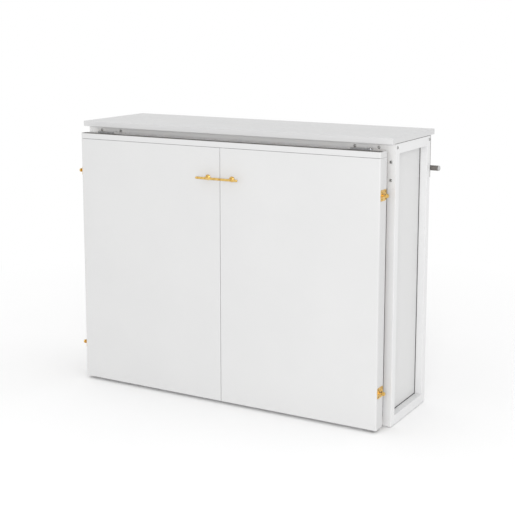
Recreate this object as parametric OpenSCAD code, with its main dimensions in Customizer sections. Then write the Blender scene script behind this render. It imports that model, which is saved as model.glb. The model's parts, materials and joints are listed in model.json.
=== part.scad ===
// A horizontal wall bed in a low cabinet, folded away.
// X runs along the cabinet, Y from the front to the wall, Z up. Millimetres.
// The origin is on the floor, at the centre of the footprint.

/* [Cabinet frame] */
// Width over the posts
frame_w = 2044; // [2036:2:2060]
// Depth over the posts
frame_d = 504; // [460:2:560]
// Height to the top of the rails
frame_h = 1580; // [1578:1:1620]
// Side of a square post
post = 50; // [48:1:52]
// Height of a rail
rail_h = 54; // [48:1:56]
// Thickness of the side and back panels
panel_t = 6; // [4:1:8]
// How far a panel sits in its rebate
rebate = 8; // [6:1:10]
// Thickness of the glides under the posts
glide_t = 3; // [2:1:6]
// Width of the seals round the side panels
seal_w = 3; // [2:0.5:4]

/* [Top panel] */
// Length of the top panel
top_w = 2050; // [2044:2:2080]
// Thickness of the top panel
top_t = 32; // [18:1:40]
// Thickness of the felt under it
felt_t = 3; // [2:1:4]
// Overhang in front of the posts
top_front = 58; // [20:1:80]
// Overhang behind the posts, which is the distance to the wall
top_rear = 53; // [50:1:80]

/* [Corner brackets] */
// Plate thickness
bracket_t = 5; // [3:1:6]
// Length of the upright arm
bracket_drop = 240; // [240:5:300]
// Length of the level arm
bracket_run = 282; // [255:1:400]
// Radius of a screw head
head_r = 8.5; // [5:0.5:10]
// Thickness of a screw head
head_t = 4; // [2:0.5:5]

/* [Bed front] */
// Width of the drop-down front
shell_w = 1980; // [1976:1:1984]
// Depth of its box
shell_d = 84; // [80:1:86]
// Distance of its face ahead of the posts
face_ahead = 130; // [126:1:134]
// Height of its lower edge
shell_bottom = 17; // [15:1:20]
// Height of its upper edge
shell_top = 1548; // [1544:1:1552]
// Thickness of the two door panels and of the box boards
board_t = 18; // [18:1:19]
// Thickness of the box sides
side_t = 16; // [15:1:16]
// Thickness of the top board
cap_t = 32; // [28:1:36]
// Gap between the two door panels
seam = 3; // [1:0.5:5]
// Gap between the door panels and the top board
joint = 2; // [1:0.5:4]
// Radius of the outer upright edges
edge_r = 8; // [2:1:10]
// Thickness of the dust seal on its upper edge
dust_t = 1.5; // [1:0.5:3]
// Width of the dust seal
dust_w = 42; // [20:1:50]

/* [Fold pivot] */
// Distance of the pivot ahead of the posts
pivot_ahead = 98; // [97:1:99]
// Height of the pivot
pivot_z = 90; // [88:1:91]
// Radius of the pivot pin
pin_r = 6; // [5:0.5:6]
// Radial clearance of pins and bolts in their bores
running = 0.05; // [0.02:0.01:0.09]
// Thickness of the pivot bracket
arm_t = 8; // [6:1:8]
// Coils in each torsion spring
coils = 7; // [4:1:7]

/* [Mattress and slats] */
// Length of the mattress
mattress_l = 1905; // [1850:5:1915]
// Width of the mattress
mattress_w = 1372; // [1300:2:1380]
// Thickness of the mattress
mattress_t = 177; // [140:1:200]
// Height of the lower edge of the mattress
mattress_z = 75; // [70:1:80]
// Number of slats
slat_n = 13; // [11:2:15]
// Width of a slat
slat_w = 70; // [60:1:80]
// Thickness of a slat
slat_t = 18; // [15:1:18]

/* [Handle] */
// Length of the bar
handle_l = 280; // [220:5:400]
// Distance between its posts
handle_gap = 160; // [120:4:200]
// Distance of the bar's axis from the door panels
handle_reach = 42; // [30:1:42]
// Radius of the bar
handle_r = 7; // [5:0.5:7]
// Height of the bar
handle_z = 1340; // [1200:5:1450]

/* [Side latches] */
// Height of the upper latches
latch_high = 1315; // [1100:5:1315]
// Height of the lower latches
latch_low = 225; // [200:5:400]
// Travel of a bolt
latch_travel = 30; // [26:1:32]
// Radius of a bolt
bolt_r = 5; // [4:0.5:5]
// Radius of a knob
knob_r = 11; // [8:0.5:12]

/* [Swing feet] */
// Distance of each foot from the middle
foot_x = 900; // [700:5:920]
// Width of the foot bar
foot_w = 24; // [20:1:28]
// Thickness of the foot bar
foot_t = 5; // [4:1:8]

/* [Wall rail] */
// Radius of the rail tube
tube_r = 15; // [12:0.5:15]
// Height of the rail
tube_z = 1391; // [1380:1:1400]
// Length of the tube beyond each side of the frame
tube_over = 42; // [10:1:60]
// Distance of each wall plate from the middle
plate_x = 600; // [300:10:800]
// Distance between the two screw holes of a wall plate
hole_gap = 100; // [80:5:110]

/* [Hidden] */
$fn = 48;
half = frame_w / 2;
inner = half - post;
handle_front = face_ahead + handle_reach + handle_r;
wall_y = frame_d + top_rear;
top_z = frame_h + felt_t;
post_y = (handle_front - wall_y) / 2;
panel_z0 = glide_t + rail_h - rebate;
panel_z1 = frame_h - rail_h + rebate;
half_shell = shell_w / 2;
shell_rear = shell_d - face_ahead;
face_back = board_t - face_ahead;
side_in = half_shell - side_t;
door_top = shell_top - cap_t - joint;
pocket_in = inner - 56;
pocket_d = 5;
pocket_top = pivot_z + 20;
bush_r = 8.5;
bush_l = 11;
bush_flange = 1.6;
arm_out = inner;
arm_in = inner - arm_t;
arm_end_r = 16;
wire_r = 2.5;
coil_r = pin_r + wire_r + 2;
coil_pitch = 2 * wire_r - 0.4;
plate_t = 2.5;
bolt_x = inner - 8;
bolt_front = 23 - face_ahead;
bolt_tip = -16;
guide_in = inner - 16;
guide_y0 = -66;
guide_y1 = -34;
latch_y0 = 6 - face_ahead;
latch_y1 = -52;
knob_y = 28 - face_ahead;
keeper_r = bolt_r + 0.6;
keeper_y0 = 4;
keeper_y1 = 16;
latch_h = 60;
stem_r = 4;
slot_w = 9.2;
slot_l = latch_travel + slot_w;
slot_y = knob_y + latch_travel / 2;
rim_w = 5;
rim_t = 3;
knob_x = half_shell + 24;
foot_y = -62;
foot_gap = 0.4;
foot_z = shell_top + dust_t + foot_gap;
pad_l = 10;
underside = pivot_z - (face_ahead - pivot_ahead);
foot_l = face_ahead + foot_y + underside - 1;
stud_r = 4;
tube_y = frame_d + 27;
tube_wall = 2;
slat_pitch = (mattress_l - 5 - slat_w) / (slat_n - 1);
slat_z0 = shell_bottom + 4;
slat_z1 = shell_top - 4;
slat_back = shell_rear + slat_t;
strap_t = 2;
strap_w = 50;
hole_r = 4.25;
top_screw = 21;
front_screw_z = [97, 196];
rear_screw_z = [97, 228];
bracket_screw_x = [97, 239];
side_screw_y = 19;

// Moves local drawing, whose Y starts at the front of the posts, to the part's frame.
module placed() {
    translate([0, post_y, 0]) children();
}

// Draws for the right side, or mirrored for the left one.
module on_side(side) {
    mirror([side < 0 ? 1 : 0, 0, 0]) children();
}

module both_sides() {
    children();
    mirror([1, 0, 0]) children();
}

// A box between two corners.
module block(low, high) {
    translate(low) cube(high - low);
}

module rod_x(x0, x1, r) {
    translate([x0, 0, 0]) rotate([0, 90, 0]) cylinder(r = r, h = x1 - x0);
}

module rod_y(y0, y1, r) {
    translate([0, y0, 0]) rotate([-90, 0, 0]) cylinder(r = r, h = y1 - y0);
}

// A flat rectangle with round corners, exact arcs.
module round_rect(w, h, r) {
    square([w - 2 * r, h], center = true);
    square([w, h - 2 * r], center = true);
    for (x = [-1, 1], y = [-1, 1]) {
        translate([x * (w / 2 - r), y * (h / 2 - r)]) circle(r = r);
    }
}

// ---- cabinet frame ----

module post_at(side, rear) {
    y0 = rear ? frame_d - post : 0;
    groove_y = rear ? y0 : post - rebate;
    color("white") placed() on_side(side) difference() {
        block([inner, y0, glide_t], [half, y0 + post, frame_h]);
        block([inner - 1, groove_y, panel_z0], [inner + panel_t, groove_y + rebate, panel_z1]);
        if (rear) {
            block([inner - 1, frame_d - panel_t, panel_z0], [inner + rebate, frame_d + 1, panel_z1]);
        }
    }
}

module side_rail(side, upper) {
    z0 = upper ? frame_h - rail_h : glide_t;
    groove_z = upper ? z0 : z0 + rail_h - rebate;
    color("white") placed() on_side(side) difference() {
        block([inner, post, z0], [half, frame_d - post, z0 + rail_h]);
        block([inner - 1, post - 1, groove_z], [inner + panel_t, frame_d - post + 1, groove_z + rebate]);
    }
}

module cross_rail(rear, upper) {
    y0 = rear ? frame_d - post : 0;
    z0 = upper ? frame_h - rail_h : glide_t;
    groove_z = upper ? z0 : z0 + rail_h - rebate;
    color("white") placed() difference() {
        block([-inner, y0, z0], [inner, y0 + post, z0 + rail_h]);
        if (rear) {
            block([-inner - 1, frame_d - panel_t, groove_z], [inner + 1, frame_d + 1, groove_z + rebate]);
        }
    }
}

module side_panel(side) {
    y1 = frame_d - post + rebate;
    color("whitesmoke") placed() on_side(side)
        block([inner, post - rebate, panel_z0], [inner + panel_t, y1, panel_z1]);
}

module back_panel() {
    x1 = inner + rebate;
    color("whitesmoke") placed()
        block([-x1, frame_d - panel_t, panel_z0], [x1, frame_d, panel_z1]);
}

module top_panel() {
    color("white") placed()
        block([-top_w / 2, -top_front, top_z], [top_w / 2, wall_y, top_z + top_t]);
}

// A ring of felt between the frame and the top panel.
module top_felt() {
    edge = half - 1.5;
    color("dimgray") placed() difference() {
        block([-edge, 1.5, frame_h], [edge, frame_d - 1.5, top_z]);
        block([5 - inner, post - 5, frame_h - 1], [inner - 5, frame_d - post + 5, top_z + 1]);
    }
}

// Seals in the corner between each side panel and its frame.
module panel_seals() {
    x0 = inner + panel_t;
    y1 = frame_d - post;
    z0 = glide_t + rail_h;
    z1 = frame_h - rail_h;
    color("dimgray") placed() both_sides() difference() {
        block([x0, post, z0], [x0 + seal_w, y1, z1]);
        block([x0 - 1, post + seal_w, z0 + seal_w], [x0 + seal_w + 1, y1 - seal_w, z1 - seal_w]);
    }
}

module corner_bracket(side, rear) {
    y0 = rear ? frame_d : -bracket_t;
    color("white") placed() on_side(side) {
        block([inner, y0, frame_h - bracket_drop], [half, y0 + bracket_t, frame_h]);
        block([half - bracket_run, y0, frame_h - rail_h], [half, y0 + bracket_t, frame_h]);
    }
}

// Heads on the corner brackets, on the frame's sides and on the pivot brackets.
module frame_screws() {
    front_y = -bracket_t - head_t;
    rear_y = frame_d + bracket_t;
    color("silver") placed() both_sides() {
        for (y = [front_y, rear_y], x = bracket_screw_x) {
            translate([half - x, 0, frame_h - top_screw]) rod_y(y, y + head_t, head_r);
        }
        for (z = front_screw_z) {
            translate([half - post / 2, 0, frame_h - z]) rod_y(front_y, front_y + head_t, head_r);
        }
        for (z = rear_screw_z) {
            translate([half - post / 2, 0, frame_h - z]) rod_y(rear_y, rear_y + head_t, head_r);
        }
        for (y = [side_screw_y, frame_d - side_screw_y]) {
            translate([0, y, frame_h - top_screw]) rod_x(half, half + head_t, head_r);
        }
        for (z = [40, 70, 100]) {
            translate([0, 20, pivot_z + z]) rod_x(arm_in - head_t, arm_in, 6);
        }
    }
}

module floor_glides() {
    color("gray") placed() both_sides() for (y = [post / 2, frame_d - post / 2]) {
        translate([half - post / 2, y, 0]) cylinder(r = 18, h = glide_t);
    }
}

// ---- wall rail ----

module wall_rail() {
    end = half + tube_over;
    color("dimgray") placed() translate([0, tube_y, tube_z]) difference() {
        rod_x(-end, end, tube_r);
        rod_x(-end - 1, end + 1, tube_r - tube_wall);
    }
}

module wall_rail_caps() {
    end = half + tube_over;
    insert_r = tube_r - tube_wall - 0.1;
    color("lightgray") placed() translate([0, tube_y, tube_z]) both_sides() {
        rod_x(end - 20, end, insert_r);
        rod_x(end, end + 4, tube_r);
        translate([end + 4, 0, 0]) rotate([0, 90, 0]) cylinder(r1 = tube_r, r2 = tube_r - 3, h = 3);
    }
}

// Blocks that hold the tube behind the rear posts.
module rail_clamps() {
    color("dimgray") placed() both_sides() difference() {
        block([half - 68, frame_d + bracket_t, tube_z - 22], [half - 32, tube_y + 19, tube_z + 22]);
        translate([0, tube_y, tube_z]) rod_x(half - 80, half + 10, tube_r + running);
    }
}

// Plates that screw to the wall, with a saddle round the tube.
module wall_plates() {
    color("dimgray") placed() both_sides() difference() {
        union() {
            block([plate_x - 30, wall_y - 5, tube_z - 70], [plate_x + 30, wall_y, tube_z + 70]);
            block([plate_x - 20, tube_y - 19, tube_z - 20], [plate_x + 20, wall_y - 4, tube_z + 20]);
        }
        translate([0, tube_y, tube_z]) rod_x(plate_x - 40, plate_x + 40, tube_r + running);
        for (z = [-1, 1]) {
            translate([plate_x, 0, tube_z + z * hole_gap / 2]) rod_y(wall_y - 10, wall_y + 1, hole_r);
        }
    }
}

// ---- fold pivot ----

// The outline is drawn in Y and Z, then stood up along X.
module pivot_bracket(side) {
    color("silver") placed() on_side(side) difference() {
        translate([arm_in, 0, 0]) rotate([90, 0, 90]) linear_extrude(height = arm_t) union() {
            translate([-pivot_ahead, pivot_z]) circle(r = arm_end_r);
            polygon([
                [-pivot_ahead, pivot_z - arm_end_r],
                [38, pivot_z - arm_end_r],
                [38, pivot_z + 120],
                [2, pivot_z + 120],
                [-20, pivot_z + arm_end_r],
                [-pivot_ahead, pivot_z + arm_end_r]
            ]);
        }
        translate([0, -pivot_ahead, pivot_z]) rod_x(arm_in - 1, arm_out + 1, pin_r);
    }
}

module pivot_pins() {
    color("silver") placed() translate([0, -pivot_ahead, pivot_z]) both_sides() {
        rod_x(inner - 52, side_in + bush_l - 1, pin_r);
        rod_x(inner - 54, inner - 52, coil_r + wire_r);
    }
}

// Closely wound coils round the pin, starting against the bracket.
module torsion_springs() {
    color("dimgray") placed() translate([0, -pivot_ahead, pivot_z]) both_sides()
        translate([arm_in - wire_r, 0, 0]) rotate([0, -90, 0]) rotate_extrude() for (i = [0 : coils - 1]) {
            translate([coil_r, i * coil_pitch]) circle(r = wire_r);
        }
}

module pivot_bushes() {
    color("goldenrod") placed() translate([0, -pivot_ahead, pivot_z]) both_sides() difference() {
        union() {
            rod_x(side_in, side_in + bush_l, bush_r);
            rod_x(side_in - bush_flange, side_in, bush_r + 3);
        }
        rod_x(side_in - 5, side_in + bush_l + 5, pin_r + running);
    }
}

// ---- drop-down front ----

// Plan of a board whose outer front corner is round.
module door_plan() {
    translate([seam / 2, -face_ahead]) square([half_shell - edge_r - seam / 2, board_t]);
    translate([half_shell - edge_r - 1, edge_r - face_ahead]) square([edge_r + 1, board_t - edge_r]);
    translate([half_shell - edge_r, edge_r - face_ahead]) circle(r = edge_r);
}

module door_panel(side) {
    color("white") placed() on_side(side) difference() {
        translate([0, 0, shell_bottom]) linear_extrude(height = door_top - shell_bottom) door_plan();
        block([pocket_in, face_back - pocket_d, shell_bottom - 1], [side_in, face_back + 1, pocket_top]);
        translate([handle_gap / 2, 0, handle_z]) rod_y(-face_ahead - 1, face_back + 1, 2.3);
    }
}

module shell_top_board() {
    z0 = shell_top - cap_t;
    flat = half_shell - edge_r;
    color("white") placed() difference() {
        translate([0, 0, z0]) linear_extrude(height = cap_t) union() {
            translate([-flat, -face_ahead]) square([2 * flat, shell_d]);
            translate([-half_shell, edge_r - face_ahead]) square([shell_w, shell_d - edge_r]);
            for (x = [-flat, flat]) {
                translate([x, edge_r - face_ahead]) circle(r = edge_r);
            }
        }
        for (x = [-foot_x, foot_x]) {
            translate([x, foot_y, shell_top - 16]) cylinder(r = stud_r, h = 20);
        }
    }
}

// A felt strip along the upper edge, against dust.
module dust_seal() {
    end = half_shell - 3;
    color("dimgray") placed()
        block([-end, 2 - face_ahead, shell_top], [end, dust_w - face_ahead, shell_top + dust_t]);
}

module shell_bottom_board() {
    color("white") placed()
        block([-pocket_in, face_back, shell_bottom], [pocket_in, shell_rear, shell_bottom + board_t]);
}

module shell_side(side) {
    z1 = shell_top - cap_t;
    color("white") placed() on_side(side) difference() {
        block([side_in, face_back, shell_bottom], [half_shell, shell_rear, z1]);
        block([half_shell - 2, face_back - 1, z1 - joint], [half_shell + 1, shell_rear + 1, z1 + 1]);
        for (z = [latch_high, latch_low]) {
            translate([side_in - 1, slot_y, z]) latch_slot(side_t + 2);
        }
        translate([0, -pivot_ahead, pivot_z]) rod_x(side_in - 1, side_in + bush_l, bush_r);
    }
}

module shell_ribs() {
    z0 = shell_bottom + board_t;
    color("white") placed() for (x = [-480, 0, 480]) {
        block([x - board_t / 2, face_back, z0], [x + board_t / 2, shell_rear, shell_top - cap_t]);
    }
}

function slat_x(i) = (i - (slat_n - 1) / 2) * slat_pitch;

module slats() {
    color("burlywood") placed() for (i = [0 : slat_n - 1]) {
        x = slat_x(i);
        block([x - slat_w / 2, shell_rear, slat_z0], [x + slat_w / 2, slat_back, slat_z1]);
    }
}

module slat_screws() {
    color("silver") placed() for (i = [0 : slat_n - 1], z = [slat_z0 + 6, slat_z1 - 8]) {
        translate([slat_x(i), 0, z]) rod_y(slat_back, slat_back + 1.5, 4);
    }
}

module mattress() {
    y0 = slat_back + 1;
    color("ivory") placed() block(
        [-mattress_l / 2, y0, mattress_z],
        [mattress_l / 2, y0 + mattress_t, mattress_z + mattress_w]
    );
}

// Webbing that holds the mattress to the slats: a U in Y and Z.
module mattress_straps() {
    y1 = slat_back + 1 + mattress_t + 0.5;
    z0 = mattress_z - 0.5;
    z1 = mattress_z + mattress_w + 0.5;
    color("gray") placed() for (i = [3, slat_n - 4]) {
        translate([slat_x(i) - strap_w / 2, 0, 0]) difference() {
            block([0, slat_back, z0 - strap_t], [strap_w, y1 + strap_t, z1 + strap_t]);
            block([-1, slat_back - 1, z0], [strap_w + 1, y1, z1]);
        }
    }
}

// ---- handle ----

module handle_bar() {
    end = handle_l / 2 - handle_r;
    color("gold") placed() translate([0, -face_ahead - handle_reach, handle_z]) {
        rod_x(-end, end, handle_r);
        for (x = [-end, end]) {
            translate([x, 0, 0]) sphere(r = handle_r);
        }
    }
}

// A round rose and a neck that ends in a saddle under the bar.
module handle_posts() {
    color("gold") placed() translate([0, -face_ahead, handle_z]) both_sides() difference() {
        translate([handle_gap / 2, 0, 0]) rotate([90, 0, 0]) union() {
            cylinder(r = 16, h = 3);
            translate([0, 0, 3]) cylinder(r1 = 14, r2 = 6, h = 6);
            cylinder(r = 6, h = handle_reach);
        }
        translate([0, -handle_reach, 0]) rod_x(0, handle_l, handle_r + 0.02);
        translate([handle_gap / 2, 0, 0]) rod_y(-12, 1, 2.3);
    }
}

module handle_screws() {
    color("silver") placed() translate([0, 0, handle_z]) both_sides() translate([handle_gap / 2, 0, 0]) {
        rod_y(-face_ahead - 11, face_back, 2.2);
        rod_y(face_back, face_back + 3, 5);
    }
}

// ---- side latches ----

// The slot that a knob slides in, cut along X.
module latch_slot(depth) {
    rotate([90, 0, 90]) linear_extrude(height = depth) round_rect(slot_l, slot_w, slot_w / 2 - 0.1);
}

// A plate outside with a rim round its slot, and a guide for the bolt inside.
module latch_parts(z) {
    translate([half_shell, 0, z]) difference() {
        union() {
            translate([0, (latch_y0 + latch_y1) / 2, 0]) rotate([90, 0, 90])
                linear_extrude(height = plate_t) round_rect(latch_y1 - latch_y0, latch_h, 10);
            translate([0, slot_y, 0]) rotate([90, 0, 90]) linear_extrude(height = plate_t + rim_t)
                round_rect(slot_l + 2 * rim_w, slot_w + 2 * rim_w, 8);
        }
        translate([-1, slot_y, 0]) latch_slot(plate_t + rim_t + 2);
    }
    translate([0, 0, z]) difference() {
        block([guide_in, guide_y0, -10], [side_in, guide_y1, 10]);
        translate([bolt_x, 0, 0]) rod_y(guide_y0 - 1, guide_y1 + 1, bolt_r + running);
    }
}

module latch_barrels() {
    color("gold") placed() both_sides() for (z = [latch_high, latch_low]) {
        latch_parts(z);
    }
}

// Blocks inside the front posts that the bolts enter.
module latch_keepers() {
    color("silver") placed() both_sides() for (z = [latch_high, latch_low]) {
        translate([0, 0, z]) difference() {
            block([guide_in, keeper_y0, -12], [inner, keeper_y1, 12]);
            translate([bolt_x, 0, 0]) rod_y(keeper_y0 - 1, keeper_y1 + 1, keeper_r);
        }
    }
}

module latch_screws() {
    x0 = half_shell + plate_t;
    color("darkgoldenrod") placed() both_sides() for (z = [latch_high, latch_low], side = [-1, 1]) {
        for (y = [latch_y0 + 12, latch_y1 - 12]) {
            translate([0, y, z + side * (latch_h / 2 - 11)]) rod_x(x0, x0 + 1.5, 3.5);
        }
    }
}

// A sliding bolt, drawn back, and the knob on its stem.
module latch_bolt(side, z) {
    color("gold") placed() on_side(side) translate([0, 0, z]) {
        translate([bolt_x, 0, 0]) rod_y(bolt_front, bolt_tip, bolt_r);
        translate([0, knob_y, 0]) rod_x(bolt_x, knob_x + 1, stem_r);
        translate([0, knob_y, 0]) rod_x(knob_x, knob_x + 8, knob_r);
        translate([knob_x + 8, knob_y, 0]) rotate([0, 90, 0])
            cylinder(r1 = knob_r, r2 = knob_r - 4, h = 4);
    }
}

// ---- swing feet ----

module foot(side) {
    bar_end = foot_x - foot_l + pad_l;
    color("silver") placed() on_side(side) translate([0, foot_y, foot_z]) difference() {
        linear_extrude(height = foot_t) union() {
            translate([foot_x, 0]) circle(r = foot_w / 2);
            translate([bar_end, -foot_w / 2]) square([foot_x - bar_end, foot_w]);
        }
        translate([foot_x, 0, -1]) cylinder(r = stud_r + running, h = foot_t + 2);
    }
}

module foot_pad(side) {
    tip = foot_x - foot_l;
    color("dimgray") placed() on_side(side)
        block([tip, foot_y - foot_w / 2, foot_z], [tip + pad_l, foot_y + foot_w / 2, foot_z + foot_t + 1]);
}

// Shouldered studs that the feet turn on.
module foot_studs() {
    head_z = foot_z + foot_t + foot_gap;
    color("silver") placed() both_sides() translate([foot_x, foot_y, 0]) {
        translate([0, 0, shell_top - 15]) cylinder(r = stud_r, h = head_z - shell_top + 16);
        translate([0, 0, head_z]) cylinder(r = 8, h = 4);
    }
}

// ---- one line per node ----

top_panel();
post_at(-1, false);  // post_front_left
post_at(1, false);  // post_front_right
post_at(-1, true);  // post_rear_left
post_at(1, true);  // post_rear_right
side_rail(-1, true);  // side_rail_top_left
side_rail(1, true);  // side_rail_top_right
side_rail(-1, false);  // side_rail_bottom_left
side_rail(1, false);  // side_rail_bottom_right
cross_rail(false, true);  // front_rail_top
cross_rail(false, false);  // front_rail_bottom
cross_rail(true, true);  // rear_rail_top
cross_rail(true, false);  // rear_rail_bottom
side_panel(-1);  // side_panel_left
side_panel(1);  // side_panel_right
back_panel();
corner_bracket(-1, false);  // corner_bracket_front_left
corner_bracket(1, false);  // corner_bracket_front_right
corner_bracket(-1, true);  // corner_bracket_rear_left
corner_bracket(1, true);  // corner_bracket_rear_right
frame_screws();
floor_glides();
top_felt();
panel_seals();
wall_rail();
wall_rail_caps();
rail_clamps();
wall_plates();
pivot_bracket(-1);  // pivot_bracket_left
pivot_bracket(1);  // pivot_bracket_right
pivot_pins();
torsion_springs();
latch_keepers();
door_panel(-1);  // door_panel_left
door_panel(1);  // door_panel_right
shell_top_board();
dust_seal();
shell_bottom_board();
shell_side(-1);  // shell_side_left
shell_side(1);  // shell_side_right
shell_ribs();
slats();
slat_screws();
mattress();
mattress_straps();
handle_bar();
handle_posts();
handle_screws();
pivot_bushes();
latch_barrels();
latch_screws();
foot_studs();
latch_bolt(-1, latch_high);  // latch_bolt_upper_left
latch_bolt(1, latch_high);  // latch_bolt_upper_right
latch_bolt(-1, latch_low);  // latch_bolt_lower_left
latch_bolt(1, latch_low);  // latch_bolt_lower_right
foot(-1);  // foot_left
foot(1);  // foot_right
foot_pad(-1);  // foot_pad_left
foot_pad(1);  // foot_pad_right
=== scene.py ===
# %% [markdown]
# # A horizontal wall bed, finished and lit
#
# The bed's solids come in already cut and placed. This lesson gives each of
# them its finish, softens the edges that a maker would soften, and adds what
# solids alone can't show: screw sockets, a sewn mattress and its straps.

import json
import math

import bmesh
import bpy
import numpy as np
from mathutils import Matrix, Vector
from mathutils.bvhtree import BVHTree


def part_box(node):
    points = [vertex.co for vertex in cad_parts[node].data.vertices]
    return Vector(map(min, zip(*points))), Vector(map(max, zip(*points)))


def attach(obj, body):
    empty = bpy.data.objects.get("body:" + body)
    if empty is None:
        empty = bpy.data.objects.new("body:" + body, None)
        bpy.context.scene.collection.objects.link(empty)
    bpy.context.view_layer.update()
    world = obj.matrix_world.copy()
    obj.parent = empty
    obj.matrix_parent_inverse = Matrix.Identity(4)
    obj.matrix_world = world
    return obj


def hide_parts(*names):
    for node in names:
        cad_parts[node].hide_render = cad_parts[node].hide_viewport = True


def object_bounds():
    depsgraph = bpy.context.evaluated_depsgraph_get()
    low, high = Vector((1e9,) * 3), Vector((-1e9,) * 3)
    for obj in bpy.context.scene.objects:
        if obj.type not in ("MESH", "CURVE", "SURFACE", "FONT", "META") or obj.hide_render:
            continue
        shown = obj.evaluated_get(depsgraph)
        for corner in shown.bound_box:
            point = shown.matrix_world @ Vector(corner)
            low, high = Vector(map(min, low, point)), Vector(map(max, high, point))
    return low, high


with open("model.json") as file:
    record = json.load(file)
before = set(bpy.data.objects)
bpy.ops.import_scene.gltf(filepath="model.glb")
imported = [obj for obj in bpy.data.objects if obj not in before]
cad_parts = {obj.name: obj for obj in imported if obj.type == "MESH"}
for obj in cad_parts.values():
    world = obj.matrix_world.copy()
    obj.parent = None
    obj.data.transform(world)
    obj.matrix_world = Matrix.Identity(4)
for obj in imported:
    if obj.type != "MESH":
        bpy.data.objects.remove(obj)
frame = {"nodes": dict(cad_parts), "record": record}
solid_box = [list(c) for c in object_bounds()]
nodes = frame["nodes"]
scene = bpy.context.scene
print("solids:", len(nodes), "from", np.round(solid_box[0], 3), "to", np.round(solid_box[1], 3))

# %% [markdown]
# ## The camera
#
# The bed is seen from the right and a little above. A long lens keeps the
# uprights almost parallel, and a small vertical shift straightens them more.

# %% Place the camera
EYE = (3.345, -5.767, 2.271)
TURN = 29.63
TILT = 9.17

lens = bpy.data.cameras.new("long_lens")
lens.lens = 79.25
lens.sensor_width = 36.0
lens.shift_y = -0.12
camera = bpy.data.objects.new("viewpoint", lens)
camera.location = EYE
camera.rotation_euler = (math.radians(90 - TILT), 0.0, math.radians(TURN))
scene.collection.objects.link(camera)
scene.camera = camera
print("camera at", EYE, "turned", TURN, "tilted", TILT)

# %% [markdown]
# ## Even light
#
# A white room lights the cabinet from everywhere, so that its shadows stay
# faint. One broad panel stands beside the viewer. It reaches into the slots
# that the room can't light, and lifts the doors slightly above the sides.

# %% Light the room
scene.view_settings.view_transform = "Standard"
room = bpy.data.worlds.new("white_room")
room.use_nodes = True
room.node_tree.nodes["Background"].inputs["Color"].default_value = (1.0, 1.0, 1.0, 1.0)
room.node_tree.nodes["Background"].inputs["Strength"].default_value = 1.0
scene.world = room


def soft_panel(name, place, target, width, power):
    """A square lamp that faces a point."""
    lamp = bpy.data.lights.new(name, "AREA")
    lamp.size = width
    lamp.energy = power
    holder = bpy.data.objects.new(name, lamp)
    holder.location = place
    holder.rotation_euler = (Vector(target) - Vector(place)).to_track_quat("-Z", "Y").to_euler()
    scene.collection.objects.link(holder)


soft_panel("viewer_panel", (4.0, -7.5, 2.3), (0.0, 0.0, 0.8), 2.4, 255.0)

# %% [markdown]
# ## A kit for finishes
#
# Every finish is grown from noise and waves in the object's own coordinates,
# so nothing has to be unwrapped and each fleck stays where it is when the bed
# folds. These few helpers keep each recipe short.


# %% Helpers for materials
class Finish:
    """One material, and short ways to add nodes to it."""

    def __init__(self, name):
        self.material = bpy.data.materials.new(name)
        self.material.use_nodes = True
        self.tree = self.material.node_tree
        self.surface = self.tree.nodes["Principled BSDF"]
        self.place = self.tree.nodes.new("ShaderNodeTexCoord").outputs["Object"]

    def node(self, kind, **settings):
        made = self.tree.nodes.new(kind)
        for key, value in settings.items():
            setattr(made, key, value)
        return made

    def join(self, source, target):
        self.tree.links.new(source, target)

    def stretched(self, scale):
        """Object coordinates multiplied along each axis."""
        mapping = self.node("ShaderNodeMapping")
        mapping.inputs["Scale"].default_value = scale
        self.join(self.place, mapping.inputs["Vector"])
        return mapping.outputs["Vector"]

    def noise(self, scale, detail=3.0, place=None, roughness=0.5):
        made = self.node("ShaderNodeTexNoise")
        made.inputs["Scale"].default_value = scale
        made.inputs["Detail"].default_value = detail
        made.inputs["Roughness"].default_value = roughness
        self.join(place or self.place, made.inputs["Vector"])
        return made.outputs["Fac"]

    def ramp(self, source, *stops):
        made = self.node("ShaderNodeValToRGB")
        points = made.color_ramp.elements
        while len(points) < len(stops):
            points.new(0.5)
        for point, (position, colour) in zip(points, stops):
            point.position = position
            point.color = (*colour, 1.0)
        self.join(source, made.inputs["Fac"])
        return made.outputs["Color"]

    def ranged(self, source, low, high, start=0.3, end=0.7):
        made = self.node("ShaderNodeMapRange")
        made.inputs["From Min"].default_value = start
        made.inputs["From Max"].default_value = end
        made.inputs["To Min"].default_value = low
        made.inputs["To Max"].default_value = high
        self.join(source, made.inputs["Value"])
        return made.outputs["Result"]

    def sum(self, first, second, operation="ADD"):
        made = self.node("ShaderNodeMath", operation=operation)
        self.join(first, made.inputs[0])
        self.join(second, made.inputs[1])
        return made.outputs["Value"]

    def raised(self, height, depth):
        """Bump whose full height is depth, in metres."""
        bump = self.node("ShaderNodeBump")
        bump.inputs["Strength"].default_value = 1.0
        bump.inputs["Distance"].default_value = depth
        self.join(height, bump.inputs["Height"])
        self.join(bump.outputs["Normal"], self.surface.inputs["Normal"])

    def colour(self, source):
        self.join(source, self.surface.inputs["Base Color"])

    def rough(self, source):
        self.join(source, self.surface.inputs["Roughness"])

    def set(self, **values):
        for key, value in values.items():
            self.surface.inputs[key.replace("_", " ")].default_value = value


finishes = {}
print("material helpers ready")

# %% [markdown]
# ## White lacquer
#
# The doors and the top are sprayed board, and the posts and rails are sprayed
# timber. Lacquer isn't quite flat: it dries with a very shallow ripple, called
# orange peel, and hides a faint unevenness of tone. Two sizes of noise give both. Roughness near 0.4 makes
# it satin, so that the doors mirror nothing but still catch a soft sheen.


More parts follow.
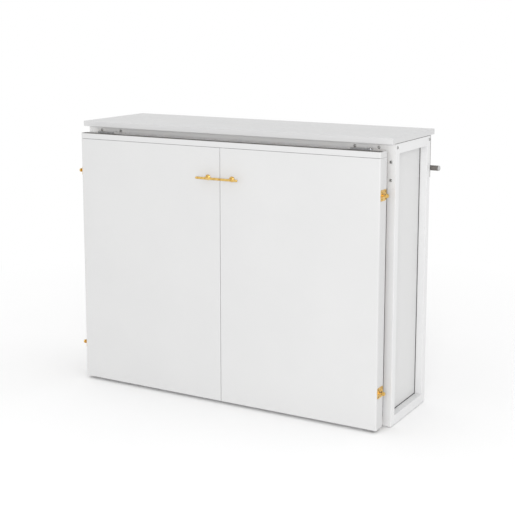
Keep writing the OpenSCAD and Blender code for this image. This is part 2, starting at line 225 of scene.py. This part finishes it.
# %% Lacquered boards and timber
def lacquer(name, dark, light, peel, sheen):
    made = Finish(name)
    cloud = made.noise(2.5, 4.0)
    made.colour(made.ramp(cloud, (0.35, dark), (0.65, light)))
    made.rough(made.ranged(made.noise(38.0, 4.0), sheen - 0.05, sheen + 0.06))
    ripple = made.sum(made.noise(260.0, 2.0), made.noise(26.0, 2.0))
    made.raised(ripple, peel)
    made.set(Coat_Weight=0.12, Coat_Roughness=0.25)
    finishes[name] = made.material


# Doors, top, posts and rails share one white lacquer. The top takes a darker tone as painted shade, and
# the posts and rails a lighter tone as painted light, to lift them in the shaded gap behind the doors.
lacquer("white_door", (0.596, 0.596, 0.596), (0.608, 0.608, 0.607), 0.00006, 0.40)
lacquer("white_top", (0.580, 0.580, 0.582), (0.596, 0.596, 0.596), 0.00006, 0.38)
lacquer("white_post", (0.695, 0.695, 0.698), (0.716, 0.716, 0.717), 0.00009, 0.42)
print("lacquers:", sorted(finishes))

# %% [markdown]
# ## Thin side and back panels
#
# The recessed panels are thin board wrapped in printed foil. The foil has a
# faint upright grain that is felt more than seen, so noise is squeezed along
# X and Y and left long in Z, and goes mostly into the bump.

# %% Foil-wrapped panels
foil = Finish("white_panel")
upright = foil.stretched((90.0, 90.0, 2.2))
streaks = foil.noise(3.0, 5.0, upright, 0.6)
foil.colour(foil.ramp(streaks, (0.30, (0.638, 0.638, 0.636)), (0.70, (0.664, 0.664, 0.663))))
foil.rough(foil.ranged(streaks, 0.42, 0.56))
foil.raised(streaks, 0.00012)
finishes["white_panel"] = foil.material
print("foil grain runs upright")

# %% [markdown]
# ## Powder coat
#
# The front corner brackets are steel with a baked powder coat. Powder melts
# into a fine pebbled skin, a little rougher and livelier than lacquer. The
# wall rail has the same skin in dark grey, and the rear brackets take it too
# as painted shade, so that their edges show as dark shaded lines.


# %% Powder-coated steel
def powder(name, dark, light, sheen):
    made = Finish(name)
    pebbles = made.noise(700.0, 2.0)
    made.colour(made.ramp(made.noise(14.0, 5.0), (0.32, dark), (0.68, light)))
    made.rough(made.ranged(pebbles, sheen - 0.08, sheen + 0.10))
    made.raised(pebbles, 0.00010)
    finishes[name] = made.material


# The white brackets take the posts' lifted tone: painted light, like theirs.
powder("white_bracket", (0.700, 0.700, 0.698), (0.726, 0.726, 0.724), 0.46)
# dark_tube: the rail's own dark grey; on the rear brackets it is painted shade.
powder("dark_tube", (0.125, 0.114, 0.105), (0.165, 0.152, 0.142), 0.44)
print("powder coats: white_bracket and dark_tube")

# %% [markdown]
# ## Satin gold
#
# The handle and the latches are brass with a satin gold finish, brushed along
# the bar. Brushing leaves fine lines that stretch the reflections, so the
# noise is squeezed across X. Handling dulls it in patches, which the slower
# noise adds to both the colour and the roughness.

# %% Gold and its aged screws
gold = Finish("gold")
lines = gold.noise(2.0, 4.0, gold.stretched((14.0, 520.0, 520.0)))
patches = gold.noise(55.0, 4.0)
gold.colour(
    gold.ramp(
        patches,
        (0.30, (0.560, 0.330, 0.080)),
        (0.52, (0.760, 0.500, 0.150)),
        (0.75, (0.820, 0.590, 0.230)),
    )
)
gold.rough(gold.ranged(gold.sum(lines, patches), 0.22, 0.42, 0.6, 1.4))
gold.raised(lines, 0.00005)
gold.set(Metallic=1.0)
finishes["gold"] = gold.material

aged = Finish("gold_screw")
grime = aged.noise(320.0, 4.0)
aged.colour(aged.ramp(grime, (0.35, (0.180, 0.105, 0.040)), (0.65, (0.420, 0.270, 0.100))))
aged.rough(aged.ranged(grime, 0.32, 0.55))
aged.raised(grime, 0.00006)
aged.set(Metallic=1.0)
finishes["gold_screw"] = aged.material
print("brass finishes made")

# %% [markdown]
# ## Working steel
#
# Screws are zinc-plated, the pivots, keepers and feet are plain ground steel,
# and the springs are blackened. They differ in tone, in how rough they are and
# in the size of their spots, so one recipe with different numbers serves them
# all, and the bronze of the bushes too.


# %% Plated, ground and blackened steel
def steel(name, dark, light, low, high, grain):
    made = Finish(name)
    spots = made.noise(grain, 5.0)
    made.colour(made.ramp(spots, (0.32, dark), (0.68, light)))
    made.rough(made.ranged(made.noise(grain * 2.3, 3.0), low, high))
    made.raised(spots, 0.00005)
    made.set(Metallic=1.0)
    finishes[name] = made.material


# The screw steel is darker than fresh zinc plate: painted shade, standing in for the dark ring of shade
# round each small head.
steel("screw_steel", (0.330, 0.330, 0.326), (0.480, 0.480, 0.472), 0.30, 0.48, 180.0)
steel("pivot_steel", (0.380, 0.385, 0.400), (0.560, 0.560, 0.570), 0.26, 0.44, 90.0)
steel("spring_steel", (0.020, 0.020, 0.022), (0.070, 0.068, 0.066), 0.34, 0.52, 140.0)
steel("bush_bronze", (0.300, 0.170, 0.070), (0.480, 0.300, 0.140), 0.38, 0.56, 420.0)
print("steels: screw, pivot, spring, and a bronze bush")

# %% [markdown]
# ## Plastic and rubber
#
# The rail's end caps and the glides are moulded, with a fine even texture
# from the mould. Rubber is rougher and slightly dusty, black in the seals and
# pale under the feet. Felt is all roughness: its fibres are coarser than any of
# these, and nothing shines.


# %% Moulded parts
def moulded(name, dark, light, sheen, grain, depth):
    made = Finish(name)
    made.colour(made.ramp(made.noise(22.0, 5.0), (0.30, dark), (0.70, light)))
    texture = made.noise(grain, 2.0)
    made.rough(made.ranged(texture, sheen - 0.07, sheen + 0.07))
    made.raised(texture, depth)
    finishes[name] = made.material


moulded("pale_cap", (0.440, 0.440, 0.438), (0.500, 0.500, 0.498), 0.48, 900.0, 0.00008)
moulded("glide", (0.080, 0.080, 0.082), (0.120, 0.120, 0.122), 0.55, 800.0, 0.00010)
moulded("black_rubber", (0.018, 0.018, 0.018), (0.040, 0.040, 0.039), 0.78, 600.0, 0.00018)
moulded("dark_felt", (0.090, 0.084, 0.078), (0.150, 0.142, 0.134), 0.92, 260.0, 0.00060)
moulded("pale_rubber", (0.470, 0.470, 0.462), (0.540, 0.540, 0.532), 0.72, 600.0, 0.00015)
moulded("buckle_plastic", (0.022, 0.022, 0.024), (0.036, 0.036, 0.038), 0.40, 1000.0, 0.00006)
print("moulded finishes made")

# %% [markdown]
# ## Pine slats
#
# The slats are planed pine. A board cut from a log shows long wavering bands,
# the growth rings cut lengthwise, with fine pores between them and a knot now
# and then. Bands come from a wave that noise bends; the noise is stretched
# along the slat, and it shifts with X, so no two slats look alike.

# %% Planed pine
pine = Finish("slat_wood")
along = pine.stretched((9.0, 9.0, 0.55))
bend = pine.noise(1.6, 4.0, along)
rings = pine.node("ShaderNodeTexWave", wave_type="BANDS", bands_direction="X")
rings.inputs["Scale"].default_value = 3.2
rings.inputs["Distortion"].default_value = 9.0
rings.inputs["Detail"].default_value = 3.0
pine.join(along, rings.inputs["Vector"])
knots = pine.node("ShaderNodeTexVoronoi", feature="F1")
knots.inputs["Scale"].default_value = 1.0
pine.join(pine.stretched((7.0, 7.0, 2.4)), knots.inputs["Vector"])
knot_mask = pine.ranged(knots.outputs["Distance"], 1.0, 0.0, 0.03, 0.12)
pores = pine.noise(1.0, 4.0, pine.stretched((900.0, 900.0, 26.0)))
tone = pine.sum(pine.ranged(rings.outputs["Fac"], 0.0, 0.55, 0.0, 1.0), pine.ranged(bend, 0.0, 0.45))
shade = pine.ramp(
    tone,
    (0.10, (0.620, 0.400, 0.200)),
    (0.45, (0.540, 0.320, 0.145)),
    (0.85, (0.390, 0.205, 0.080)),
)
knotty = pine.node("ShaderNodeMixRGB")
pine.join(knot_mask, knotty.inputs["Fac"])
pine.join(shade, knotty.inputs["Color1"])
knotty.inputs["Color2"].default_value = (0.120, 0.050, 0.020, 1.0)
pine.colour(knotty.outputs["Color"])
pine.rough(pine.ranged(pores, 0.46, 0.66))
pine.raised(pine.sum(pores, tone), 0.00018)
finishes["slat_wood"] = pine.material
print("pine has rings, pores and knots")

# %% [markdown]
# ## Cloth
#
# Mattress ticking is a close weave with a soft sheen. Two fine waves at right
# angles make the threads, and slow noise keeps them from looking printed. The
# straps are woven webbing: a coarser weave with ribs along their length.


# %% Ticking and webbing
def woven(name, dark, light, across, along, depth, fuzz):
    made = Finish(name)
    threads = []
    for direction, scale in (("X", across), ("Z", along)):
        wave = made.node("ShaderNodeTexWave", wave_type="BANDS", bands_direction=direction)
        wave.inputs["Scale"].default_value = scale
        wave.inputs["Distortion"].default_value = 0.6
        wave.inputs["Detail"].default_value = 1.0
        made.join(made.place, wave.inputs["Vector"])
        threads.append(wave.outputs["Fac"])
    weave = made.sum(threads[0], threads[1])
    tone = made.sum(made.ranged(weave, 0.0, 0.4, 0.2, 1.8), made.ranged(made.noise(7.0, 5.0), 0.0, 0.6))
    made.colour(made.ramp(tone, (0.10, dark), (0.90, light)))
    made.rough(made.ranged(weave, 0.92, 0.78, 0.2, 1.8))
    made.raised(weave, depth)
    made.set(Sheen_Weight=fuzz, Sheen_Roughness=0.45)
    finishes[name] = made.material


woven("mattress_cloth", (0.560, 0.535, 0.490), (0.700, 0.680, 0.640), 210.0, 210.0, 0.00030, 0.25)
woven("mattress_border", (0.330, 0.335, 0.350), (0.460, 0.465, 0.480), 120.0, 260.0, 0.00040, 0.25)
woven("piping", (0.215, 0.220, 0.235), (0.330, 0.335, 0.350), 300.0, 300.0, 0.00025, 0.20)
woven("webbing", (0.055, 0.056, 0.062), (0.130, 0.132, 0.142), 150.0, 85.0, 0.00060, 0.15)
print("finishes so far:", len(finishes))

# %% [markdown]
# ## Dress the solids
#
# Each solid already names the finish it wants, so one short loop dresses the
# whole cabinet.

# %% Give each solid its finish
wanted = {s["node"]: s["material_slot"] for s in frame["record"]["subparts"]}
for name, solid in nodes.items():
    solid.data.materials.clear()
    solid.data.materials.append(finishes[wanted[name]])
print("dressed", len(wanted), "solids in", len(set(wanted.values())), "finishes")

# %% [markdown]
# ## Soften the edges
#
# A sharp edge on a real board is always broken, or the lacquer would chip off
# it, and that thin rounded line catches the light. A solid arrives with its
# faces apart, so Weld joins them first, Bevel then rounds what is sharp, and
# Weighted Normal keeps the broad faces flat under the light.

# %% Rounded edges
EDGE = {
    "white_door": 0.0015,
    "white_top": 0.0020,
    "white_post": 0.0020,
    "white_panel": 0.0004,
    "white_bracket": 0.0010,
    "slat_wood": 0.0030,
    "dark_tube": 0.0010,
    "pale_cap": 0.0015,
    "pivot_steel": 0.0006,
    "dark_felt": 0.0004,
    "black_rubber": 0.0004,
    "pale_rubber": 0.0010,
    "glide": 0.0006,
    "gold": 0.0006,
}


def soften(solid, width):
    """Joins the faces, rounds the sharp edges and keeps the faces flat."""
    weld = solid.modifiers.new("weld", "WELD")
    weld.merge_threshold = 0.00002
    bevel = solid.modifiers.new("broken_edge", "BEVEL")
    bevel.width = width
    bevel.segments = 2
    bevel.limit_method = "ANGLE"
    bevel.angle_limit = math.radians(40)
    bevel.use_clamp_overlap = True
    normals = solid.modifiers.new("flat_faces", "WEIGHTED_NORMAL")
    normals.keep_sharp = True


for name, solid in nodes.items():
    if wanted[name] in EDGE:
        soften(solid, EDGE[wanted[name]])
print("softened", sum(1 for o in nodes.values() if o.modifiers), "solids")

# %% [markdown]
# ## Screws with sockets
#
# A screw is only read as a screw when it shows what the key goes into. Each
# plain disc is replaced by a turned button head with a hexagonal socket: rings
# of points go up over the dome, across the flat, and down into the socket,
# where the ring's radius follows a hexagon instead of a circle.


# %% Find where the discs are
def separate_boxes(name):
    """The corners of each separate lump in one solid's mesh."""
    mesh = nodes[name].data
    keys = [tuple(round(c, 5) for c in v.co) for v in mesh.vertices]
    parent = {k: k for k in keys}

    def root(k):
        while parent[k] != k:
            parent[k] = parent[parent[k]]
            k = parent[k]
        return k

    for face in mesh.polygons:
        first = root(keys[face.vertices[0]])
        for v in face.vertices[1:]:
            parent[root(keys[v])] = first
    lumps = {}
    for k in parent:
        lumps.setdefault(root(k), []).append(k)
    return [(np.min(p, axis=0), np.max(p, axis=0)) for p in lumps.values()]


print("discs on the frame:", len(separate_boxes("frame_screws")))


# %% Turn one button head
# Each ring has a share of the radius, a share of the height, and says whether
# it follows the socket's hexagon.
HEAD_RINGS = [
    (1.00, 0.00, False),
    (1.00, 0.25, False),
    (0.93, 0.62, False),
    (0.76, 0.92, False),
    (0.56, 1.00, False),
    (0.40, 1.00, True),
    (0.37, 0.94, True),
    (0.37, 0.35, True),
]
HEAD_STEPS = 30


def hexagon(angle, flat):
    """Radius of a hexagon at an angle, flat being its inner radius."""
    return flat / math.cos((angle % (math.pi / 3)) - math.pi / 6)


def add_button_head(bm, base, axis, radius, height):
    """A domed head standing on base and pointing along axis."""
    turn = Vector((0, 0, 1)).rotation_difference(axis)
    rows = []
    for reach, rise, six in HEAD_RINGS:
        row = []
        for i in range(HEAD_STEPS):
            a = 2 * math.pi * i / HEAD_STEPS
            r = hexagon(a, reach * radius) if six else reach * radius
            point = Vector((r * math.cos(a), r * math.sin(a), rise * height))
            row.append(bm.verts.new(Vector(base) + turn @ point))
        rows.append(row)
    for low, high in zip(rows, rows[1:]):
        for i in range(HEAD_STEPS):
            j = (i + 1) % HEAD_STEPS
            bm.faces.new((low[i], low[j], high[j], high[i]))
    bm.faces.new(rows[-1])
    bm.faces.new(list(reversed(rows[0])))


print("one head has", len(HEAD_RINGS) * HEAD_STEPS, "points")


# %% Replace every row of discs
def finished_piece(name, bm, material, smooth=35):
    """Turns a bmesh into an object with smooth shading below an angle."""
    mesh = bpy.data.meshes.new(name)
    bmesh.ops.recalc_face_normals(bm, faces=bm.faces)
    bm.to_mesh(mesh)
    bm.free()
    mesh.materials.append(finishes[material])
    piece = bpy.data.objects.new(name, mesh)
    scene.collection.objects.link(piece)
    for face in mesh.polygons:
        face.use_smooth = True
    mesh.set_sharp_from_angle(angle=math.radians(smooth))
    return piece


def button_heads(node, body, outward):
    """Replaces the discs of one node. outward gives each head's direction."""
    bm = bmesh.new()
    count = 0
    for low, high in separate_boxes(node):
        centre = (low + high) / 2
        size = high - low
        axis = Vector(outward(centre, size))
        k = max(range(3), key=lambda n: abs(axis[n]))
        radius = max(size[n] for n in range(3) if n != k) / 2
        base = centre.copy()
        base[k] = low[k] if axis[k] > 0 else high[k]
        add_button_head(bm, base, axis, radius, size[k])
        count += 1
    piece = finished_piece(node + "_turned", bm, wanted[node])
    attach(piece, body)
    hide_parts(node)
    print(node, "has", count, "heads")


middle_y = (solid_box[0][1] + solid_box[1][1]) / 2


def off_the_frame(centre, size):
    """Heads that are thin along X point out of the sides, or in at the pivots."""
    if size[0] < size[1] and size[0] < size[2]:
        outer = abs(centre[0]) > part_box("post_front_right")[0].x
        return (math.copysign(1 if outer else -1, centre[0]), 0, 0)
    return (0, math.copysign(1, centre[1] - middle_y), 0)


button_heads("frame_screws", "cabinet", off_the_frame)
button_heads("slat_screws", "bed", lambda c, s: (0, 1, 0))
button_heads("latch_screws", "bed", lambda c, s: (math.copysign(1, c[0]), 0, 0))

# %% [markdown]
# ## The mattress, blown up by cloth
#
# A mattress is foam in a tight cover: its faces crown, and its corners round
# off. Letting cloth with a little air pressure inflate a slightly smaller
# block gives that tension for free. The block is remeshed so that the cloth
# has even cells, the swelling is capped, and the result is made permanent.

# %% Inflate the block
m_low, m_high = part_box("mattress")
m_size = m_high - m_low
m_mid = (m_low + m_high) / 2
SHRINK = 0.012
CORNER = 0.030
VOXEL = 0.022

bm = bmesh.new()
bmesh.ops.create_cube(bm, size=1.0)
for v in bm.verts:
    v.co = Vector(v.co[k] * (m_size[k] - 2 * SHRINK) + m_mid[k] for k in range(3))
bmesh.ops.bevel(bm, geom=bm.edges[:], offset=CORNER, segments=4, affect="EDGES", profile=0.5)
mattress = finished_piece("mattress_padded", bm, "mattress_cloth", 80)

remesh = mattress.modifiers.new("even_cells", "REMESH")
remesh.mode = "VOXEL"
remesh.voxel_size = VOXEL
bpy.context.view_layer.objects.active = mattress
mattress.select_set(True)
bpy.ops.object.modifier_apply(modifier="even_cells")
print("mattress cells:", len(mattress.data.polygons))


# %% Let the cloth swell, then cap it
SWELL_CAP = 0.010
PRESSURE = 4.0
CLOTH_FRAMES = 20


def swell(piece, cap, pressure):
    """Moves each point by at most cap, and returns how far the cloth wanted to go."""
    start = np.array([v.co for v in piece.data.vertices])
    cloth = piece.modifiers.new("cloth", "CLOTH")
    cloth.settings.use_pressure = True
    cloth.settings.uniform_pressure_force = pressure
    cloth.settings.effector_weights.gravity = 0.0
    cloth.settings.quality = 5
    for step in range(1, CLOTH_FRAMES + 1):
        scene.frame_set(step)
    grid = bpy.context.evaluated_depsgraph_get()
    shaped = piece.evaluated_get(grid)
    end = np.array([v.co for v in shaped.data.vertices])
    move = end - start
    length = np.linalg.norm(move, axis=1, keepdims=True)
    move *= np.minimum(1.0, cap / np.maximum(length, 1e-9))
    piece.modifiers.remove(cloth)
    piece.data.vertices.foreach_set("co", (start + move).astype(np.float32).ravel())
    piece.data.update()
    scene.frame_set(1)
    return float(length.max())


print("cloth swelled by up to", round(swell(mattress, SWELL_CAP, PRESSURE), 4), "m, before the cap")

# %% [markdown]
# ## Quilting
#
# The cover is stitched through to the padding in large diamonds. After one
# subdivision, each point on the two broad faces is pressed in where it is
# near a stitch line and left proud in the middle of a diamond. The border
# between the faces stays smooth and takes a darker cloth.

# %% Stitch the diamonds
DIAMOND = 0.150
SLANT = 1.15
STITCH = 0.0065
STITCH_SPREAD = 0.10
# The stitching fades out where a face turns away, and towards the edges.
FLAT_FROM = 0.90
FLAT_FADE = 0.08
MARGIN = 0.030
MARGIN_FADE = 0.050
BORDER_BELOW = 0.55

finer = mattress.modifiers.new("finer", "SUBSURF")
finer.levels = finer.render_levels = 1
bpy.ops.object.modifier_apply(modifier="finer")
points = np.array([v.co for v in mattress.data.vertices])
normals = np.array([v.normal for v in mattress.data.vertices])
across = (points[:, 0] + points[:, 2] * SLANT) / DIAMOND
down = (points[:, 0] - points[:, 2] * SLANT) / DIAMOND
near = np.minimum(abs(across - np.round(across)), abs(down - np.round(down)))
press = np.exp(-((near / STITCH_SPREAD) ** 2))
broad = np.clip((abs(normals[:, 1]) - FLAT_FROM) / FLAT_FADE, 0, 1)
from_end = m_size[0] / 2 - abs(points[:, 0] - m_mid[0])
from_side = m_size[2] / 2 - abs(points[:, 2] - m_mid[2])
inner = np.clip((np.minimum(from_end, from_side) - MARGIN) / MARGIN_FADE, 0, 1)
points -= normals * (press * broad * inner * STITCH)[:, None]
points = np.clip(points, np.array(m_low), np.array(m_high))
mattress.data.vertices.foreach_set("co", points.astype(np.float32).ravel())
mattress.data.materials.append(finishes["mattress_border"])
for face in mattress.data.polygons:
    face.material_index = 1 if abs(face.normal[1]) < BORDER_BELOW else 0
    face.use_smooth = True
mattress.data.update()
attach(mattress, "bed")
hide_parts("mattress")
print("mattress faces:", len(mattress.data.polygons))

# %% [markdown]
# ## Piping
#
# A corded seam, the piping, joins the broad faces to the border. It is laid on
# the finished mattress: rays go in from outside all round the edge, and the
# cord follows the points that they strike.

# %% Lay the corded seams
PIPING = 0.0035
PIPING_INSET = 0.022
PIPING_POINTS = 260
AIM = 0.30
OUTSIDE = 1.6

skin = BVHTree.FromPolygons(
    [Vector(p) for p in points],
    [tuple(f.vertices) for f in mattress.data.polygons],
)


def round_the_edge(count, depth):
    """Points on the border, at one depth, all the way round."""
    found = []
    for i in range(count):
        a = 2 * math.pi * i / count
        c, s = math.cos(a), math.sin(a)
        square = 1 / max(abs(c), abs(s))
        toward = Vector((c * square * m_size.x, 0, s * square * m_size.z))
        inside = Vector((m_mid.x, depth, m_mid.z)) + toward * AIM
        outward = toward.normalized()
        hit = skin.ray_cast(inside + outward * OUTSIDE, -outward)[0]
        if hit:
            found.append(hit)
    return found


for label, depth in (("front", m_low.y + PIPING_INSET), ("rear", m_high.y - PIPING_INSET)):
    curve = bpy.data.curves.new("piping_" + label, "CURVE")
    curve.dimensions = "3D"
    curve.bevel_depth = PIPING
    curve.bevel_resolution = 3
    route = round_the_edge(PIPING_POINTS, depth)
    line = curve.splines.new("POLY")
    line.points.add(len(route) - 1)
    for point, place in zip(line.points, route):
        point.co = (*place, 1.0)
    line.use_cyclic_u = True
    cord = bpy.data.objects.new("mattress_piping_" + label, curve)
    curve.materials.append(finishes["piping"])
    scene.collection.objects.link(cord)
    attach(cord, "bed")
    print("piping", label, "has", len(route), "points")

# %% [markdown]
# ## Straps
#
# Two webbing straps keep the mattress on its slats when the bed stands up.
# Each is a flat ribbon with rounded edges, laid over the mattress along a
# path that rays find in the same way. Both ends lie flat on a slat, and two
# screws hold each. A ladder buckle takes up the slack.


# %% Ribbon along a path
def ribbon(bm, path, width, thickness, centre_x):
    """A band whose width lies along X, swept through points (y, z)."""
    profile = [(-0.5, 0.0), (-0.485, 0.5), (0.485, 0.5), (0.5, 0.0), (0.485, -0.5), (-0.485, -0.5)]
    rows = []
    for i, here in enumerate(path):
        before = path[max(i - 1, 0)]
        after = path[min(i + 1, len(path) - 1)]
        way = (Vector(after) - Vector(before)).normalized()
        out = Vector((-way[1], way[0]))
        row = []
        for u, v in profile:
            y = here[0] + out[0] * v * thickness
            z = here[1] + out[1] * v * thickness
            row.append(bm.verts.new((centre_x + u * width, y, z)))
        rows.append(row)
    count = len(profile)
    for one, two in zip(rows, rows[1:]):
        for k in range(count):
            bm.faces.new((one[k], one[(k + 1) % count], two[(k + 1) % count], two[k]))
    bm.faces.new(rows[0])
    bm.faces.new(list(reversed(rows[-1])))


print("ribbon helper ready")

# %% Lay the straps
slat_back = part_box("slats")[1].y
STRAP_WIDTH = 0.050
STRAP = 0.0018
STRAP_STEPS = 120
HUB = 0.050
FAR = 2.0


def strap_path(x):
    """Round the mattress in the plane x, from slat to slat."""
    path = []
    hub = Vector((x, slat_back + HUB, m_mid.z))
    for i in range(STRAP_STEPS + 1):
        a = math.radians(-90 + 180 * i / STRAP_STEPS)
        toward = Vector((0, math.cos(a) * m_size.y, math.sin(a) * m_size.z / 2))
        toward.normalize()
        starts = [hub + Vector((dx, 0, 0)) + toward * FAR for dx in (-0.02, 0.0, 0.02)]
        hits = [h for h in (skin.ray_cast(s, -toward)[0] for s in starts) if h]
        if hits:
            spot = hub + toward * (max((h - hub).dot(toward) for h in hits) + STRAP * 0.75)
            path.append((spot.y, spot.z))
    smooth = [path[0]]
    for a, b, c in zip(path, path[1:], path[2:]):
        smooth.append(((a[0] + 2 * b[0] + c[0]) / 4, (a[1] + 2 * b[1] + c[1]) / 4))
    smooth.append(path[-1])
    return smooth


# Where a tail leaves the mattress, touches the slat and ends, along Z.
TAIL_LEAVES = 0.001
TAIL_TOUCHES = 0.012
TAIL_ENDS = 0.040
TAIL_LIFT = 0.004
TAIL_SCREWS = 0.026
SCREW_OFFSET = 0.014
TAIL_SCREW_R = 0.0045
TAIL_SCREW_H = 0.0022

bm = bmesh.new()
tails = bmesh.new()
strap_places = sorted({round(float((a[0] + b[0]) / 2), 4) for a, b in separate_boxes("mattress_straps")})
for x in strap_places:
    path = strap_path(x)
    seat = slat_back + STRAP * 0.6
    bottom, top = path[0][1], path[-1][1]
    shape = [(seat, TAIL_ENDS), (seat, TAIL_TOUCHES), (seat + TAIL_LIFT, TAIL_LEAVES)]
    tail_low = [(y, bottom - away) for y, away in shape]
    tail_high = [(y, top + away) for y, away in reversed(shape)]
    ribbon(bm, tail_low + path + tail_high, STRAP_WIDTH, STRAP, x)
    for z in (bottom - TAIL_SCREWS, top + TAIL_SCREWS):
        for dx in (-SCREW_OFFSET, SCREW_OFFSET):
            place = (x + dx, seat + STRAP * 0.5, z)
            add_button_head(tails, place, Vector((0, 1, 0)), TAIL_SCREW_R, TAIL_SCREW_H)
straps = finished_piece("straps_woven", bm, "webbing", 50)
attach(straps, "bed")
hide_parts("mattress_straps")
tail_screws = finished_piece("strap_screws", tails, "screw_steel")
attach(tail_screws, "bed")
print("straps at", strap_places)


# %% Ladder buckles on the straps
BUCKLE_AT = 0.78
BUCKLE_HALF = 0.020
SIDE_BAR = (0.026, 0.032)
SIDE_BAR_T = 0.005
RUNG_HALF = 0.027
RUNG_T = 0.004
RUNG_W = 0.006
RUNGS = (-0.020, -0.003, 0.014)


def rounded_bar(bm, low, high):
    """A box with its edges rounded."""
    made = bmesh.ops.create_cube(bm, size=1.0)["verts"]
    for v in made:
        v.co = Vector((v.co[k] + 0.5) * (high[k] - low[k]) + low[k] for k in range(3))
    edges = list({e for v in made for e in v.link_edges})
    bmesh.ops.bevel(bm, geom=edges, offset=0.0009, segments=2, affect="EDGES", profile=0.5)


bm = bmesh.new()
for x in strap_places:
    z = m_low.z + BUCKLE_AT * m_size.z
    spots = [(x + dx, z + dz) for dx in (-0.02, 0.02) for dz in (-0.02, 0.0, 0.02)]
    face = max(skin.ray_cast(Vector((u, m_high.y + 1, v)), Vector((0, -1, 0)))[0].y for u, v in spots)
    back = face + STRAP + 0.0008
    for side in (-1, 1):
        x0, x1 = sorted(x + side * edge for edge in SIDE_BAR)
        rounded_bar(bm, (x0, back, z - BUCKLE_HALF), (x1, back + SIDE_BAR_T, z + BUCKLE_HALF))
    for dz in RUNGS:
        rounded_bar(bm, (x - RUNG_HALF, back, z + dz), (x + RUNG_HALF, back + RUNG_T, z + dz + RUNG_W))
buckles = finished_piece("strap_buckles", bm, "buckle_plastic")
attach(buckles, "bed")
print("buckles:", len(strap_places))

# %% [markdown]
# ## The floor
#
# A broad pale floor catches the soft contact shadow that tells how the
# cabinet stands. It is not part of the bed. Far from the cabinet it gives off
# as much light as the room, so that it meets the room without a line.

# %% Lay the floor
FLOOR_HALF = 30.0
FLOOR_GAP = 0.0005

bm = bmesh.new()
bmesh.ops.create_grid(bm, x_segments=1, y_segments=1, size=FLOOR_HALF)
pale = Finish("pale_floor")
pale.colour(pale.ramp(pale.noise(0.6, 3.0), (0.3, (0.930, 0.930, 0.930)), (0.7, (0.950, 0.950, 0.950))))
pale.rough(pale.ranged(pale.noise(5.0, 2.0), 0.75, 0.85))
reach = pale.node("ShaderNodeVectorMath", operation="LENGTH")
pale.join(pale.place, reach.inputs[0])
glow = pale.node("ShaderNodeEmission")
glow.inputs["Strength"].default_value = 1.0
fade = pale.node("ShaderNodeMixShader")
pale.join(pale.ranged(reach.outputs["Value"], 0.0, 1.0, 1.6, 4.0), fade.inputs[0])
pale.join(pale.surface.outputs["BSDF"], fade.inputs[1])
pale.join(glow.outputs["Emission"], fade.inputs[2])
pale.join(fade.outputs["Shader"], pale.tree.nodes["Material Output"].inputs["Surface"])
finishes["pale_floor"] = pale.material
floor = finished_piece("floor", bm, "pale_floor")
floor.location.z = -FLOOR_GAP
print("floor laid")

# %% [markdown]
# ## Update the scene
#
# The dressed bed must be as big as its solids were. The view layer is
# updated once more at the end.

# %% Finish
bpy.context.view_layer.update()
